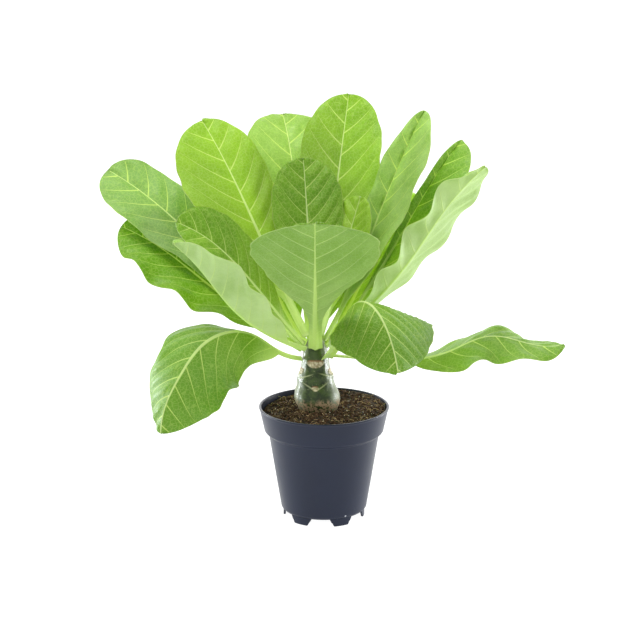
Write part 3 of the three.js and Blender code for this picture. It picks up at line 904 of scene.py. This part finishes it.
def soil_material():
    graph = Graph("potting_soil")
    place = graph.node("TexCoord").outputs["Object"]
    kind, _, _ = graph.parts(graph.attribute("soil_kind"))
    coarse = graph.noise(place, 260, 5.0, 0.7)
    fine = graph.noise(place, 1100, 3.0, 0.7)
    peat = graph.mix(graph.ramp(coarse, 0.38, 0.66), srgb(20, 15, 9), srgb(70, 55, 36))
    peat = graph.mix(graph.ramp(fine, 0.56, 0.74, 0, 0.5), peat, srgb(140, 112, 78))
    bark = graph.mix(fine, srgb(38, 26, 16), srgb(104, 78, 52))
    fibre = graph.mix(fine, srgb(150, 120, 80), srgb(206, 182, 138))
    speck = graph.mix(fine, srgb(214, 204, 176), srgb(240, 236, 224))
    colour = graph.mix(graph.ramp(kind, 0.2, 0.3), peat, bark)
    colour = graph.mix(graph.ramp(kind, 0.5, 0.6), colour, fibre)
    colour = graph.mix(graph.ramp(kind, 0.8, 0.9), colour, speck)
    relief = graph.math("ADD", coarse, graph.math("MULTIPLY", fine, 0.5))
    normal = graph.bump(relief, 1.2 * MM, 0.8)
    skin = graph.node(
        "BsdfPrincipled", Base_Color=colour, Roughness=0.85, Specular_IOR_Level=0.25, Normal=normal,
    )
    return graph.finish(skin.outputs["BSDF"])


def soil_radius():
    """The radius of the pot's inner wall at the soil's surface."""
    depth = SOIL["wall_drop"]
    slope = (RIM_RADIUS - POT["lip"] - POT["band_foot"]) / POT["band_height"]
    return RIM_RADIUS - POT["lip"] - POT["wall"] - slope * depth - SOIL["clearance"]


def soil_height(x, y):
    radius = np.hypot(x - STEM_FOOT_X, y)
    share = smoothstep(SOIL["stem_radius"], soil_radius(), radius)
    drop = SOIL["stem_drop"] + (SOIL["wall_drop"] - SOIL["stem_drop"]) * share
    return RIM_HEIGHT - drop + share * (SOIL["rise_x"] * x + SOIL["rise_y"] * y)


def lump(x, y):
    """The crumbly rise and fall of the soil's surface."""
    wide = noise.noise(Vector((x * 90, y * 90, 3)))
    mid = noise.noise(Vector((x * 260, y * 260, 9)))
    small = noise.noise(Vector((x * 700, y * 700, 17)))
    return (1.0 * wide + 0.9 * mid + 0.5 * small) * MM


def chip(size, rng):
    """A crumb of bark: a box with uneven corners, turned at random."""
    corners = np.array([(x, y, z) for x in (-1, 1) for y in (-1, 1) for z in (-1, 1)], float)
    corners *= rng.uniform(0.6, 1.1, corners.shape) * np.asarray(size) / 2
    faces = [(0, 1, 3, 2), (4, 6, 7, 5), (0, 4, 5, 1), (2, 3, 7, 6), (0, 2, 6, 4), (1, 5, 7, 3)]
    turn = Euler((rng.uniform(-0.5, 0.5), rng.uniform(-0.5, 0.5), rng.uniform(0, 6.28))).to_matrix()
    return corners @ np.array(turn).T, faces


def fibre(length, rng):
    """A thin bent strand of coir, four-sided."""
    steps = 5
    bend = rng.uniform(-1.6, 1.6)
    heading = rng.uniform(0, 2 * math.pi) + np.linspace(-bend / 2, bend / 2, steps)
    run = np.cumsum(np.stack([np.cos(heading), np.sin(heading)], 1), 0) * length / steps
    arch = np.sin(np.linspace(0, np.pi, steps)) * length * rng.uniform(0.05, 0.3)
    thick = rng.uniform(0.12, 0.3) * MM
    points = []
    for (x, y), z, turn in zip(run, arch, heading):
        out = np.array([-math.sin(turn), math.cos(turn), 0]) * thick
        middle = np.array([x, y, z])
        up = np.array([0, 0, thick])
        points += [middle + out, middle + up, middle - out, middle - up]
    faces = grid_faces(steps - 1, 4, closed=True)
    return np.array(points), faces + [(3, 2, 1, 0), (16, 17, 18, 19)]


def scatter(rng):
    """A point on the soil, clear of the stem and the wall."""
    reach = soil_radius() - SCATTER_MARGIN
    while True:
        x, y = rng.uniform(-1, 1, 2) * reach
        if math.hypot(x, y) < reach and math.hypot(x - STEM_FOOT_X, y) > STEM_CLEARANCE:
            return x, y


def crumb(kind, rng):
    """Points and faces of one chip, fibre or pale speck."""
    if kind == FIBRE:
        return fibre(rng.uniform(2.5, 8) * MM, rng)
    if kind == CHIP:
        size = rng.uniform(0.9, 4.6) * MM
        return chip((size, size * rng.uniform(0.35, 0.7), size * 0.4), rng)
    size = rng.uniform(0.4, 1.1) * MM
    return chip((size, size, size * 0.8), rng)


def soil_bed():
    """Points and faces of the soil: its lumpy surface, its sides and its underside."""
    foot = POT["foot_height"] + POT["floor"] + 0.0003
    inset = POT["wall"] + SOIL["clearance"]
    turns = np.arange(SOIL_SEGMENTS) * 2 * np.pi / SOIL_SEGMENTS
    points = []
    for radius in soil_radius() * np.sqrt(np.linspace(0, 1, SOIL_RINGS + 1)):
        for turn in turns:
            x, y = radius * math.cos(turn), radius * math.sin(turn)
            points.append((x, y, float(soil_height(x, y)) + lump(x, y)))
    shoulder = RIM_HEIGHT - POT["band_height"] - POT["shoulder"]
    sides = [(POT["body_top"] - inset, shoulder), (POT["body_foot"] - inset, foot), (0, foot)]
    for radius, height in sides:
        points += [(radius * math.cos(turn), radius * math.sin(turn), height) for turn in turns]
    return points, grid_faces(SOIL_RINGS + len(sides), SOIL_SEGMENTS, closed=True)


def make_soil():
    points, faces = soil_bed()
    kinds = [BED] * len(points)
    rng = np.random.default_rng(SOIL_SEED)
    for kind, count in ((CHIP, SOIL["chips"]), (FIBRE, SOIL["fibres"]), (SPECK, SOIL["specks"])):
        for _ in range(count):
            shape, parts = crumb(kind, rng)
            x, y = scatter(rng)
            low = shape[:, 2].min()
            height = float(soil_height(x, y)) + lump(x, y) + rng.uniform(-0.3, 0.5) * MM - low * 0.4
            faces += [tuple(index + len(points) for index in face) for face in parts]
            points += [tuple(point + np.array([x, y, height])) for point in shape]
            kinds += [kind] * len(shape)
    piece = new_piece("soil_bed", points, faces, [soil_material()])
    add_vector_attribute(piece, "soil_kind", np.stack([kinds, kinds, kinds], 1))
    weld(piece)
    piece.data.set_sharp_from_angle(angle=math.radians(50))
    stands_for(piece, "soil")


# ---------------------------------------------------------------- crown bud


def bud_material():
    graph = Graph("bud_green")
    place = graph.node("TexCoord").outputs["Object"]
    streak = graph.noise(place, 260, 4.0)
    colour = graph.mix(graph.ramp(streak, 0.35, 0.65), srgb(140, 184, 78), srgb(196, 220, 136))
    skin = graph.node("BsdfPrincipled", Base_Color=colour, Roughness=0.45)
    return graph.finish(skin.outputs["BSDF"])


def make_bud():
    low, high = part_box("crown_bud")
    middle = (low + high) / 2
    radius, tall = (high.x - low.x) / 2, high.z - low.z
    heights = np.linspace(0, 1, BUD_ROWS + 1)
    shape = along(BUD_SHAPE, heights)
    turns = np.arange(BUD_SEGMENTS) * 2 * np.pi / BUD_SEGMENTS
    turn, height = np.meshgrid(turns, heights)
    furl = ((turn / (2 * np.pi) * 3 + height * 1.3) % 1) * 0.16
    width = radius * np.maximum(shape, 0)[:, None] * (0.84 + furl)
    points = np.stack([
        middle.x + width * np.cos(turn), middle.y + width * np.sin(turn), low.z + height * tall,
    ], 2).reshape(-1, 3)
    faces = grid_faces(len(heights) - 1, len(turns), closed=True)
    piece = new_piece("crown_bud_scales", points, faces, [bud_material()])
    weld(piece)
    stands_for(piece, "crown_bud")


# ---------------------------------------------------------------- build

make_camera()
make_studio()
make_pot()
make_soil()
make_stem()
make_bud()
make_leaves()
